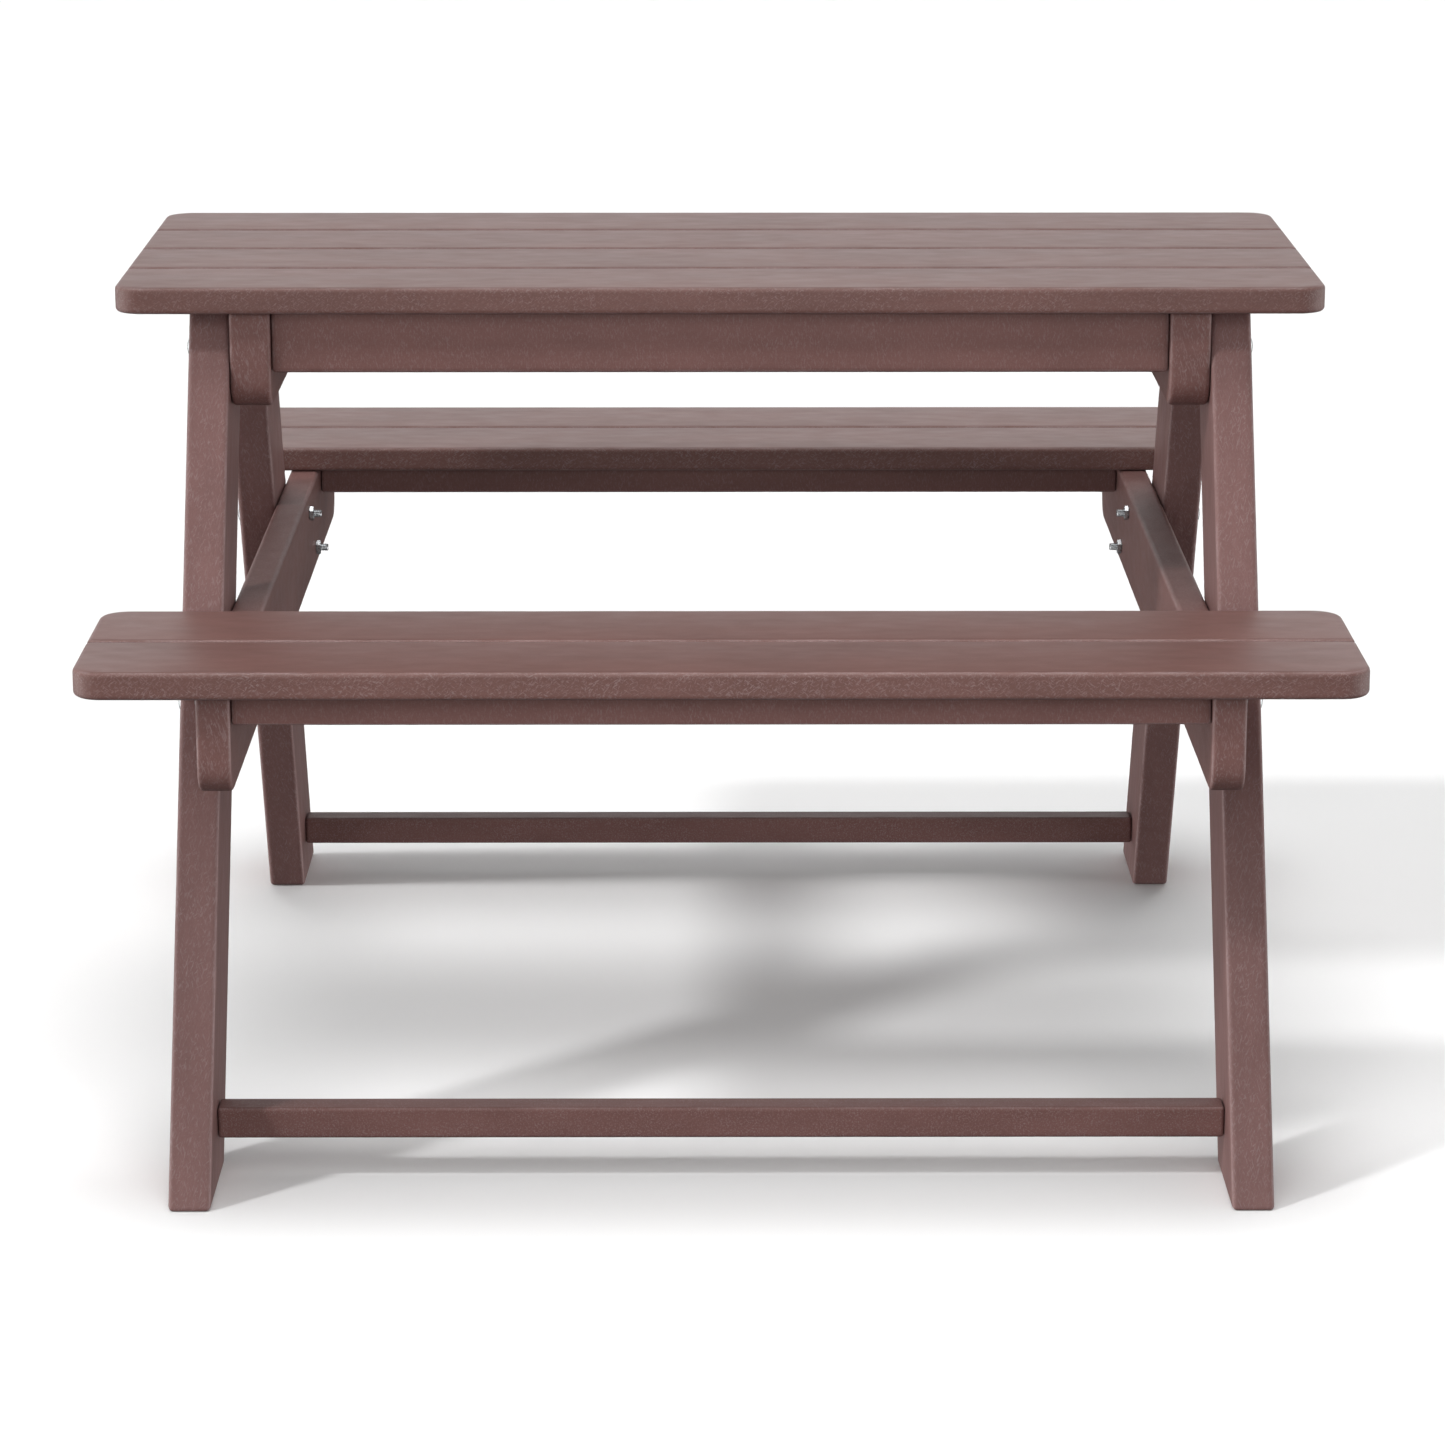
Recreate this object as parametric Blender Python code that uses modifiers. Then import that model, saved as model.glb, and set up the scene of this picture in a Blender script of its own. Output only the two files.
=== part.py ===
"""Picnic table with two attached benches, in recycled-plastic lumber on A-frame legs.

Units are metres. The boards run along X, the front bench is on -Y and +Z is up.
The origin is on the ground, under the middle of the tabletop.
"""

import math

import bmesh
import bpy
from mathutils import Matrix, Vector

# Clearances
GAP = 0.0003                # between pieces that touch on the real table
HOLE_CLEARANCE = 0.0004     # between a fastener and the wall of its hole

# Overall sizes
LENGTH = 0.853              # every board, along X
TABLE_HEIGHT = 0.591
SEAT_HEIGHT = 0.384
SEAT_OUTER_Y = 0.4695       # outer edge of a bench, from the middle of the table

# Boards of the tabletop and the benches
BOARD_WIDTH = 0.089
BOARD_THICKNESS = 0.019
BOARD_SEAM = 0.003
PLAN_CORNER = 0.020         # rounded outer corners, seen from above

# Legs
LEG_OUTER_X = 0.376
LEG_THICKNESS = 0.029
LEG_WIDTH = 0.089
LEG_LEAN = math.radians(27.0)
FOOT_OUTER_Y = 0.4427       # outer edge of a foot, on the ground

# Battens under the tabletop and rails under the seats, both inside the legs
BATTEN_THICKNESS = 0.029
BATTEN_HEIGHT = 0.070
BATTEN_HALF_LENGTH = 0.169
RAIL_THICKNESS = 0.023
RAIL_HEIGHT = 0.070
RAIL_HALF_LENGTH = 0.452
END_CORNER = 0.020          # rounded lower corners of a batten or a rail

# Bars and aprons between the two end frames
APRON_THICKNESS = 0.022
APRON_HEIGHT = 0.0445
APRON_OUTER_Y = 0.164
BAR_HEIGHT = 0.022
BAR_WIDTH = 0.0445
STRETCHER_SIDE = 0.022
STRETCHER_Z = 0.043
CLEAT_HEIGHT = 0.022
CLEAT_WIDTH = 0.0445

# Edge roundovers
BOARD_ROUNDOVER = 0.0035
FRAME_ROUNDOVER = 0.0030
BAR_ROUNDOVER = 0.0020

# Fasteners
BOLT_RADIUS = 0.003
BOLT_HEAD_RADIUS = 0.007
BOLT_HEAD_HEIGHT = 0.0035
BOLT_TAIL = 0.006           # thread that stands past the nut
NUT_ACROSS_FLATS = 0.010
NUT_THICKNESS = 0.0033
SCREW_HOLE_RADIUS = 0.0026
COUNTERSINK_RADIUS = 0.0049
COUNTERSINK_RIM = 0.0009    # straight rim above the cone of a countersink
SCREW_POINT = 0.005         # tapered end of a screw hole
OVERCUT = 0.002             # how far a cutter stands out of the face it enters

# Places of the fasteners, as (y, z) where they run along X
RAIL_BOLTS_YZ = {"upper": (0.1958, 0.3499), "lower": (0.2534, 0.3101)}
BATTEN_BOLTS_YZ = {"upper": (0.134, 0.541), "lower": (0.099, 0.526)}
APRON_SCREW_Z = 0.552
TOP_SCREWS_Y = [0.046, 0.115]
BENCH_SCREWS_X = [-0.24, 0.0, 0.24]
APRON_SCREWS_X = [-0.17, 0.17]

# Depths of the screw holes
BAR_SCREW_DEPTH = 0.050
STRETCHER_SCREW_DEPTH = 0.063
SHORT_SCREW_LENGTH = 0.035
LONG_SCREW_LENGTH = 0.050
BOARD_SCREW_BITE = 0.013    # how far a screw reaches up into a board

# Turned shapes
BOLT_STEPS = 12
SCREW_STEPS = 8

# Levels and faces that follow from the sizes above
TABLE_UNDERSIDE = TABLE_HEIGHT - BOARD_THICKNESS
SEAT_UNDERSIDE = SEAT_HEIGHT - BOARD_THICKNESS
LEG_INNER_X = LEG_OUTER_X - LEG_THICKNESS
LEG_CUT_WIDTH = LEG_WIDTH / math.cos(LEG_LEAN)
BATTEN_OUTER_X = LEG_INNER_X - GAP
BATTEN_INNER_X = BATTEN_OUTER_X - BATTEN_THICKNESS
RAIL_INNER_X = BATTEN_OUTER_X - RAIL_THICKNESS
APRON_Y = APRON_OUTER_Y - APRON_THICKNESS / 2
BOARD_PITCH = BOARD_WIDTH + BOARD_SEAM
OUTER_SEAT_Y = SEAT_OUTER_Y - BOARD_WIDTH / 2
INNER_SEAT_Y = OUTER_SEAT_Y - BOARD_PITCH
COUNTERSINK_CONE = COUNTERSINK_RADIUS - SCREW_HOLE_RADIUS
LEG_CENTRE_Y = FOOT_OUTER_Y - LEG_CUT_WIDTH / 2   # on the ground
STRETCHER_Y = LEG_CENTRE_Y - STRETCHER_Z * math.tan(LEG_LEAN)
SEAT_BAR_Z = SEAT_UNDERSIDE - GAP - BAR_HEIGHT / 2

SIDES = {"left": -1, "right": 1}
ENDS = {"front": -1, "rear": 1}


def clear_scene():
    """Remove whatever the file holds."""
    for item in list(bpy.data.objects):
        bpy.data.objects.remove(item, do_unlink=True)


def new_collection(name):
    """A collection under the scene's own."""
    collection = bpy.data.collections.new(name)
    bpy.context.scene.collection.children.link(collection)
    return collection


def plastic_lumber(name, colour):
    """Solid-coloured recycled plastic, matt with a slight sheen."""
    material = bpy.data.materials.new(name)
    material.use_nodes = True
    shader = material.node_tree.nodes["Principled BSDF"]
    shader.inputs["Base Color"].default_value = (*colour, 1.0)
    shader.inputs["Roughness"].default_value = 0.55
    shader.inputs["Metallic"].default_value = 0.0
    return material


def zinc_steel(name):
    """Bright zinc-plated steel."""
    material = bpy.data.materials.new(name)
    material.use_nodes = True
    shader = material.node_tree.nodes["Principled BSDF"]
    shader.inputs["Base Color"].default_value = (0.62, 0.63, 0.65, 1.0)
    shader.inputs["Roughness"].default_value = 0.32
    shader.inputs["Metallic"].default_value = 1.0
    return material


def add_object(name, mesh, collection, material=None):
    """Link a mesh as a named object."""
    item = bpy.data.objects.new(name, mesh)
    if material is not None:
        mesh.materials.append(material)
    collection.objects.link(item)
    return item


def box_mesh(name, size, rounded=None, radius=0.0, lean=0.0):
    """A box centred on its origin.

    rounded picks the edges that get a large corner radius, and lean shears the box
    in Y so that its top and bottom faces stay level.
    """
    bm = bmesh.new()
    bmesh.ops.create_cube(bm, size=1.0)
    bmesh.ops.scale(bm, vec=Vector(size), verts=bm.verts)
    if rounded is not None:
        edges = [edge for edge in bm.edges if rounded(edge)]
        bmesh.ops.bevel(bm, geom=edges, offset=radius, segments=5, profile=0.5, affect="EDGES")
    for vertex in bm.verts:
        vertex.co.y += vertex.co.z * math.tan(lean)
    mesh = bpy.data.meshes.new(name)
    bm.to_mesh(mesh)
    bm.free()
    return mesh


def edge_direction(edge):
    """The axis, 0 to 2, that an edge of a box runs along."""
    step = edge.verts[1].co - edge.verts[0].co
    return max(range(3), key=lambda axis: abs(step[axis]))


def upright_edges_on(side):
    """Pick the upright edges of a box on one Y side, -1, 1 or 0 for both."""
    def pick(edge):
        return edge_direction(edge) == 2 and edge.verts[0].co.y * side >= 0
    return pick


def lower_end_edges(edge):
    """Pick the two lower edges across the ends of a piece that runs along Y."""
    return edge_direction(edge) == 0 and edge.verts[0].co.z < 0


def round_edges(item, width):
    """Round every sharp edge over."""
    bevel = item.modifiers.new("edge_roundover", "BEVEL")
    bevel.width = width
    bevel.segments = 2
    bevel.limit_method = "ANGLE"
    bevel.angle_limit = math.radians(30)


def cut_holes(item, cutters):
    """Take the holes for the given fasteners out of a piece."""
    for cutter in cutters:
        hole = item.modifiers.new("holes_" + cutter.name, "BOOLEAN")
        hole.operation = "DIFFERENCE"
        hole.solver = "EXACT"
        hole.object = cutter


def turned_mesh(name, profile, steps):
    """A solid of revolution about Z from (radius, height) points, listed from the top down."""
    bm = bmesh.new()
    vertices = [bm.verts.new((radius, 0.0, height)) for radius, height in profile]
    for upper, lower in zip(vertices, vertices[1:]):
        bm.edges.new((upper, lower))
    mesh = bpy.data.meshes.new(name + "_profile")
    bm.to_mesh(mesh)
    bm.free()
    item = bpy.data.objects.new(name + "_profile", mesh)
    bpy.context.scene.collection.objects.link(item)
    screw = item.modifiers.new("turn", "SCREW")
    screw.axis = "Z"
    screw.steps = steps
    screw.render_steps = steps
    screw.use_merge_vertices = True
    screw.merge_threshold = 0.00001
    solid = evaluated_mesh(item, name)
    bpy.data.objects.remove(item, do_unlink=True)
    return solid


def evaluated_mesh(item, name):
    """The mesh of an object after its modifiers."""
    bpy.context.view_layer.update()
    graph = bpy.context.evaluated_depsgraph_get()
    mesh = bpy.data.meshes.new_from_object(item.evaluated_get(graph))
    mesh.name = name
    return mesh


def dome_bolt_profile(length):
    """A domed bolt; its head rests on a surface at height 0."""
    dome = [(0.0, GAP + BOLT_HEAD_HEIGHT)]
    for angle in (60, 30, 0):
        turn = math.radians(angle)
        dome.append((BOLT_HEAD_RADIUS * math.cos(turn), GAP + BOLT_HEAD_HEIGHT * math.sin(turn)))
    chamfer = BOLT_RADIUS * 0.25
    shank = [(BOLT_RADIUS, GAP), (BOLT_RADIUS, chamfer - length),
             (BOLT_RADIUS - chamfer, -length), (0.0, -length)]
    return dome[:-1] + [(BOLT_HEAD_RADIUS, GAP + 0.0004), (BOLT_HEAD_RADIUS, GAP)] + shank


def bore_profile(radius, depth):
    """A straight hole that goes through, its mouth at height 0."""
    return [(0.0, OVERCUT), (radius, OVERCUT), (radius, -depth - OVERCUT), (0.0, -depth - OVERCUT)]


def pilot_profile(depth):
    """A blind screw hole with a tapered end, its mouth at height 0."""
    radius = SCREW_HOLE_RADIUS
    return [(0.0, OVERCUT), (radius, OVERCUT), (radius, SCREW_POINT - depth), (0.0, -depth)]


def countersink_profile(depth, sink=0.0):
    """A screw hole with a countersink that starts sink below the mouth, under a counterbore."""
    rim = -sink - COUNTERSINK_RIM
    head = [(0.0, OVERCUT), (COUNTERSINK_RADIUS, OVERCUT), (COUNTERSINK_RADIUS, rim)]
    shank = [(SCREW_HOLE_RADIUS, rim - COUNTERSINK_CONE), (SCREW_HOLE_RADIUS, SCREW_POINT - depth)]
    return head + shank + [(0.0, -depth)]


def placed(point, outward):
    """The matrix that stands a fastener at point with its head facing outward."""
    turn = Vector(outward).to_track_quat("Z", "Y")
    return Matrix.Translation(point) @ turn.to_matrix().to_4x4()


def group_mesh(name, solid, places):
    """Copies of one solid at every place, as separate bodies of one mesh."""
    bm = bmesh.new()
    for matrix in places:
        start = len(bm.verts)
        bm.from_mesh(solid)
        bm.verts.ensure_lookup_table()
        bmesh.ops.transform(bm, matrix=matrix, verts=bm.verts[start:])
    mesh = bpy.data.meshes.new(name)
    bm.to_mesh(mesh)
    bm.free()
    return mesh


def hole_group(name, profile, steps, places, cutters):
    """The cutter for the holes of one kind of fastener."""
    solid = turned_mesh(name, profile, steps)
    item = add_object(name, group_mesh(name, solid, places), cutters)
    item.hide_render = True
    item.display_type = "WIRE"
    return item


def nut_mesh(cutters):
    """A plain hexagon nut, bored for its bolt and centred on its origin."""
    bm = bmesh.new()
    corner_radius = NUT_ACROSS_FLATS / math.sqrt(3)
    bmesh.ops.create_cone(bm, cap_ends=True, segments=6, radius1=corner_radius,
                          radius2=corner_radius, depth=NUT_THICKNESS)
    mesh = bpy.data.meshes.new("nut_blank")
    bm.to_mesh(mesh)
    bm.free()
    blank = add_object("nut_blank", mesh, cutters)
    top = [Matrix.Translation((0, 0, NUT_THICKNESS / 2))]
    profile = bore_profile(BOLT_RADIUS + HOLE_CLEARANCE, NUT_THICKNESS)
    bore = hole_group("nut_bore", profile, BOLT_STEPS, top, cutters)
    cut_holes(blank, [bore])
    nut = evaluated_mesh(blank, "nut")
    bpy.data.objects.remove(blank, do_unlink=True)
    bpy.data.objects.remove(bore, do_unlink=True)
    return nut


def add_board(name, size, centre, parts, material, roundover, cutters=(), **shape):
    """One board: a box with rounded edges and the holes for its fasteners."""
    item = add_object(name, box_mesh(name, size, **shape), parts, material)
    item.location = centre
    round_edges(item, roundover)
    cut_holes(item, cutters)
    return item


def outward_place(side, end, x, yz):
    """A place on a face at x, with the head facing away from the middle of the table."""
    y, z = yz
    return placed((side * x, end * y, z), (side, 0, 0))


def corner_places(points, x):
    """Places at (y, z) points on both sides and both ends, heads facing out."""
    return [outward_place(side, end, x, yz)
            for side in SIDES.values() for end in ENDS.values() for yz in points]


def upward_places(points, z):
    """Screws driven up from below at (x, y) points, mirrored to both ends."""
    return [placed((x, end * y, z), (0, 0, -1)) for end in ENDS.values() for x, y in points]


def add_bolts(parts, cutters, steel):
    """Bolts and nuts that hold the battens and the rails to the legs, and their bores."""
    holes = {}
    nut = nut_mesh(cutters)
    nut.materials.append(steel)
    bores = bore_profile(BOLT_RADIUS + HOLE_CLEARANCE, LEG_THICKNESS + GAP + BATTEN_THICKNESS)
    joints = {"batten": (BATTEN_BOLTS_YZ, BATTEN_THICKNESS), "rail": (RAIL_BOLTS_YZ, RAIL_THICKNESS)}
    for joint, (points, thickness) in joints.items():
        grip = LEG_THICKNESS + GAP + thickness
        length = grip + GAP + NUT_THICKNESS + BOLT_TAIL
        bolt = turned_mesh(joint + "_bolt", dome_bolt_profile(length), BOLT_STEPS)
        bolt.materials.append(steel)
        bolt.shade_smooth()
        bolt.set_sharp_from_angle(angle=math.radians(35))
        nut_x = LEG_OUTER_X - grip - GAP - NUT_THICKNESS / 2
        for end_name, end in ENDS.items():
            for side_name, side in SIDES.items():
                for level, yz in points.items():
                    corner = f"{end_name}_{side_name}_{joint}"
                    head = add_object(f"{corner}_bolt_{level}", bolt, parts)
                    head.matrix_world = outward_place(side, end, LEG_OUTER_X, yz)
                    tail = add_object(f"{corner}_nut_{level}", nut, parts)
                    tail.matrix_world = outward_place(side, end, nut_x, yz)
        holes[joint] = hole_group(joint + "_bolt_holes", bores, BOLT_STEPS,
                                  corner_places(points.values(), LEG_OUTER_X), cutters)
    return holes


def screw_holes(cutters):
    """Cutters for the screw holes of the bars, aprons, stretchers and boards."""
    batten_x = BATTEN_OUTER_X - BATTEN_THICKNESS / 2
    batten_points = [(side * batten_x, y) for side in SIDES.values() for y in TOP_SCREWS_Y]
    bench_points = [(x, y) for x in BENCH_SCREWS_X for y in (OUTER_SEAT_Y, INNER_SEAT_Y)]
    apron_points = [(x, APRON_Y) for x in APRON_SCREWS_X]
    cleat_points = [(0.0, y) for y in TOP_SCREWS_Y]
    batten_depth = BATTEN_HEIGHT + GAP + BOARD_SCREW_BITE
    apron_depth = APRON_HEIGHT + GAP + BOARD_SCREW_BITE
    short_depth = BAR_HEIGHT + GAP + BOARD_SCREW_BITE
    kinds = {
        "seat_bar": (pilot_profile(BAR_SCREW_DEPTH),
                     corner_places([(OUTER_SEAT_Y, SEAT_BAR_Z), (INNER_SEAT_Y, SEAT_BAR_Z)], BATTEN_OUTER_X)),
        "stretcher": (countersink_profile(STRETCHER_SCREW_DEPTH),
                      corner_places([(STRETCHER_Y, STRETCHER_Z)], LEG_OUTER_X)),
        "apron_end": (countersink_profile(BAR_SCREW_DEPTH),
                      corner_places([(APRON_Y, APRON_SCREW_Z)], BATTEN_OUTER_X)),
        "seat_board": (countersink_profile(short_depth),
                       upward_places(bench_points, SEAT_UNDERSIDE - GAP - BAR_HEIGHT)),
        "batten_top": (countersink_profile(batten_depth, batten_depth - LONG_SCREW_LENGTH),
                       upward_places(batten_points, TABLE_UNDERSIDE - GAP - BATTEN_HEIGHT)),
        "apron_top": (countersink_profile(apron_depth, apron_depth - SHORT_SCREW_LENGTH),
                      upward_places(apron_points, TABLE_UNDERSIDE - GAP - APRON_HEIGHT)),
        "cleat_top": (countersink_profile(short_depth),
                      upward_places(cleat_points, TABLE_UNDERSIDE - GAP - CLEAT_HEIGHT)),
    }
    return {name: hole_group(name + "_screw_holes", profile, SCREW_STEPS, places, cutters)
            for name, (profile, places) in kinds.items()}


def add_tabletop(parts, lumber, holes):
    """Four boards across the table, the outer two with rounded plan corners."""
    z = TABLE_HEIGHT - BOARD_THICKNESS / 2
    size = (LENGTH, BOARD_WIDTH, BOARD_THICKNESS)
    cutters = [holes["batten_top"], holes["cleat_top"]]
    for end_name, end in ENDS.items():
        add_board(end_name + "_inner_top_board", size, (0, end * BOARD_PITCH / 2, z),
                  parts, lumber, BOARD_ROUNDOVER, cutters)
        add_board(end_name + "_outer_top_board", size, (0, end * BOARD_PITCH * 1.5, z),
                  parts, lumber, BOARD_ROUNDOVER, cutters + [holes["apron_top"]],
                  rounded=upright_edges_on(end), radius=PLAN_CORNER)


def add_benches(parts, lumber, holes):
    """Two boards to each bench, each with a bar under it between the rails."""
    board_z = SEAT_HEIGHT - BOARD_THICKNESS / 2
    board_size = (LENGTH, BOARD_WIDTH, BOARD_THICKNESS)
    bar_size = (2 * (RAIL_INNER_X - GAP), BAR_WIDTH, BAR_HEIGHT)
    for end_name, end in ENDS.items():
        for row, y, corner_side in (("outer", OUTER_SEAT_Y, end), ("inner", INNER_SEAT_Y, -end)):
            add_board(f"{end_name}_{row}_seat_board", board_size, (0, end * y, board_z),
                      parts, lumber, BOARD_ROUNDOVER, [holes["seat_board"]],
                      rounded=upright_edges_on(corner_side), radius=PLAN_CORNER)
            add_board(f"{end_name}_{row}_seat_bar", bar_size, (0, end * y, SEAT_BAR_Z),
                      parts, lumber, BAR_ROUNDOVER,
                      [holes["seat_board"], holes["seat_bar"]])


def add_legs(parts, lumber, holes):
    """Four leaning legs, cut level at the tabletop and at the ground."""
    height = TABLE_UNDERSIDE - GAP
    size = (LEG_THICKNESS, LEG_CUT_WIDTH, height)
    x = LEG_INNER_X + LEG_THICKNESS / 2
    y = LEG_CENTRE_Y - height / 2 * math.tan(LEG_LEAN)
    cutters = [holes["batten"], holes["rail"], holes["stretcher"]]
    for end_name, end in ENDS.items():
        for side_name, side in SIDES.items():
            add_board(f"{end_name}_{side_name}_leg", size, (side * x, end * y, height / 2),
                      parts, lumber, FRAME_ROUNDOVER, cutters, lean=-end * LEG_LEAN)


def add_end_frames(parts, lumber, holes):
    """A batten under the tabletop and a seat rail on the inner side of each pair of legs."""
    batten_size = (BATTEN_THICKNESS, 2 * BATTEN_HALF_LENGTH, BATTEN_HEIGHT)
    batten_x = BATTEN_OUTER_X - BATTEN_THICKNESS / 2
    batten_z = TABLE_UNDERSIDE - GAP - BATTEN_HEIGHT / 2
    rail_size = (RAIL_THICKNESS, 2 * RAIL_HALF_LENGTH, RAIL_HEIGHT)
    rail_x = BATTEN_OUTER_X - RAIL_THICKNESS / 2
    rail_z = SEAT_UNDERSIDE - GAP - RAIL_HEIGHT / 2
    batten_cutters = [holes["batten"], holes["batten_top"], holes["apron_end"]]
    rail_cutters = [holes["rail"], holes["seat_bar"]]
    for side_name, side in SIDES.items():
        add_board(side_name + "_top_batten", batten_size, (side * batten_x, 0, batten_z),
                  parts, lumber, FRAME_ROUNDOVER, batten_cutters,
                  rounded=lower_end_edges, radius=END_CORNER)
        add_board(side_name + "_seat_rail", rail_size, (side * rail_x, 0, rail_z),
                  parts, lumber, FRAME_ROUNDOVER, rail_cutters,
                  rounded=lower_end_edges, radius=END_CORNER)


def add_cross_pieces(parts, lumber, holes):
    """Aprons, foot stretchers and the middle cleat."""
    apron_size = (2 * (BATTEN_INNER_X - GAP), APRON_THICKNESS, APRON_HEIGHT)
    apron_z = TABLE_UNDERSIDE - GAP - APRON_HEIGHT / 2
    stretcher_size = (2 * (LEG_INNER_X - GAP), STRETCHER_SIDE, STRETCHER_SIDE)
    for end_name, end in ENDS.items():
        add_board(end_name + "_table_apron", apron_size, (0, end * APRON_Y, apron_z),
                  parts, lumber, FRAME_ROUNDOVER, [holes["apron_end"], holes["apron_top"]])
        add_board(end_name + "_foot_stretcher", stretcher_size, (0, end * STRETCHER_Y, STRETCHER_Z),
                  parts, lumber, BAR_ROUNDOVER, [holes["stretcher"]])
    cleat_length = 2 * (APRON_OUTER_Y - APRON_THICKNESS - GAP)
    cleat_z = TABLE_UNDERSIDE - GAP - CLEAT_HEIGHT / 2
    add_board("middle_top_cleat", (CLEAT_WIDTH, cleat_length, CLEAT_HEIGHT), (0, 0, cleat_z),
              parts, lumber, BAR_ROUNDOVER, [holes["cleat_top"]])


def main():
    clear_scene()
    parts = new_collection("picnic_table")
    cutters = new_collection("cutters")
    steel = zinc_steel("zinc_plated_steel")
    top_lumber = plastic_lumber("top_lumber", (0.235, 0.135, 0.118))
    seat_lumber = plastic_lumber("seat_lumber", (0.230, 0.132, 0.115))
    leg_lumber = plastic_lumber("leg_lumber", (0.222, 0.126, 0.110))
    frame_lumber = plastic_lumber("frame_lumber", (0.215, 0.122, 0.106))
    holes = add_bolts(parts, cutters, steel)
    holes.update(screw_holes(cutters))
    add_tabletop(parts, top_lumber, holes)
    add_benches(parts, seat_lumber, holes)
    add_legs(parts, leg_lumber, holes)
    add_end_frames(parts, frame_lumber, holes)
    add_cross_pieces(parts, frame_lumber, holes)


main()
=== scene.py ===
"""Looks of the picnic table: routed plastic-lumber boards, zinc-plated hardware, light and camera.

Units are metres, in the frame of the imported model: X along the boards, the front bench on -Y.
"""
import math

import bmesh
import bpy
from mathutils import Matrix, Vector, noise


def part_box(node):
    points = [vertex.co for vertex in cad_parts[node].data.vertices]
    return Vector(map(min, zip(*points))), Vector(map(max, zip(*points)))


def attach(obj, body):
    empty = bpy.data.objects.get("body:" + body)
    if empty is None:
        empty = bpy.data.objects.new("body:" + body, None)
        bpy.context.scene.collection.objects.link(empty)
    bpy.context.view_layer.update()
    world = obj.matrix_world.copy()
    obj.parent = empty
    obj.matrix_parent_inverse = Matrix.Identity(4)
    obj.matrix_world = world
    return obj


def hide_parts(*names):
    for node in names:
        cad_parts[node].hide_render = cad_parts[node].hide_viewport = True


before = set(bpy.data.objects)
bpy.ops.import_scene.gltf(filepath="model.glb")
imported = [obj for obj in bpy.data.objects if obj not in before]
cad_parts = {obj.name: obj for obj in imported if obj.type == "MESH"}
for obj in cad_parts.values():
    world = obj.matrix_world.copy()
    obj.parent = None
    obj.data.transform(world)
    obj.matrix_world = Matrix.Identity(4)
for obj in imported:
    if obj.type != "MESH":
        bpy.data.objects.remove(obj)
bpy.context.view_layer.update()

SIDES = {"left": -1, "right": 1}
ENDS = {"front": -1, "rear": 1}
ROWS = ("outer", "inner")

# Lumber
LEG_LEAN = math.radians(27.0)
PLAN_CORNER = 0.020         # rounded outer corners, seen from above
END_CORNER = 0.020          # rounded lower corners of a batten or a rail
BOARD_ROUNDOVER = 0.0031
FRAME_ROUNDOVER = 0.0032
BAR_ROUNDOVER = 0.0022
CORNER_STEPS = 10
ROUNDOVER_STEPS = 4
LUMBER_SHARP_ANGLE = 38.0   # degrees; edges that bend more stay sharp

# Unevenness of the lumber
CELL = 0.009                # spacing of the cuts that make a board supple enough to be uneven
EDGE_CUT = 0.0008           # from the end of a roundover to the nearest cut
UNEVENNESS = 0.00010        # deepest hollow in a face
HOLLOWS = (16, 38, 38)      # hollows per metre along X, Y and Z
RIPPLES = (48, 90, 90)
SEED_SPREAD = 97.0          # makes the unevenness of each board its own

# Bolts and nuts
BOLT_RADIUS = 0.003
BOLT_HOLE_RADIUS = 0.0034
BOLT_HOLE_DEPTH = 0.0605
BOLT_HEAD_RADIUS = 0.007
BOLT_HEAD_HEIGHT = 0.0035
BOLT_HEAD_RIM = 0.0007
BOLT_THREAD_LENGTH = 0.018
BOLT_THREAD_DEPTH = 0.0005
THREAD_PITCH = 0.001
THREAD_OVERLAP = 0.0004     # how far the shank reaches into the thread
NUT_ACROSS_FLATS = 0.010
NUT_BORE_RADIUS = 0.0033
NUT_CHAMFER = math.radians(28)
NUT_MOUTH = 0.0005          # widening of the bore at each face
FINE_CHAMFER = 0.0002

# Screws
SCREW_RADIUS = 0.0022
SCREW_CORE_RADIUS = 0.0017
SCREW_THREAD_DEPTH = 0.00055
SCREW_THREAD_PITCH = 0.0018
SCREW_TIP = 0.006
SCREW_HOLE_RADIUS = 0.0026
SCREW_HOLE_TIP = 0.004
SCREW_HEAD_RADIUS = 0.0045
SCREW_SINK = 0.0006         # how far a flush head lies under the face
SCREW_END_GAP = 0.0006      # between the point and the bottom of the hole
SCREW_HEAD_RIM = 0.0004
COUNTERSINK_RADIUS = 0.0049
COUNTERSINK_RIM = 0.0009
ROUND_HEAD_HEIGHT = 0.0026
RECESS_DEPTH = 0.0016
RECESS_REACH = 0.62         # of the head's radius

# Shared by all hardware
GAP = 0.0003
OVERCUT = 0.002
HARDWARE_STEPS = 28
HARDWARE_SHARP_ANGLE = 32.0

# Screw places and lengths
APRON_SCREW_Z = 0.552
OUTER_TOP_SCREW_Y = 0.115
SEAT_SCREWS_X = (-0.24, 0.0, 0.24)
APRON_SCREWS_X = (-0.17, 0.17)
BAR_SCREW_LENGTH = 0.050
STRETCHER_SCREW_LENGTH = 0.063
SHORT_SCREW_LENGTH = 0.0345
LONG_SCREW_LENGTH = 0.0495
BOARD_SCREW_BITE = 0.013

# Colours and gloss
TOP_COLOUR = (0.138, 0.067, 0.058)
SEAT_COLOUR = (0.137, 0.066, 0.057)
LEG_COLOUR = (0.172, 0.091, 0.085)
FRAME_COLOUR = (0.160, 0.079, 0.071)
PALE = (0.36, 0.285, 0.285)             # fibres, and the painted highlight and wear on rounded edges
DULL_ZINC = (0.34, 0.35, 0.36)
BRIGHT_ZINC = (0.62, 0.63, 0.64)
FLOOR_WHITE = (0.84, 0.84, 0.84)
BOARD_GLOSS = 0.32
FRAME_GLOSS = 0.22
FLOOR_GLOSS = 0.1

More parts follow.
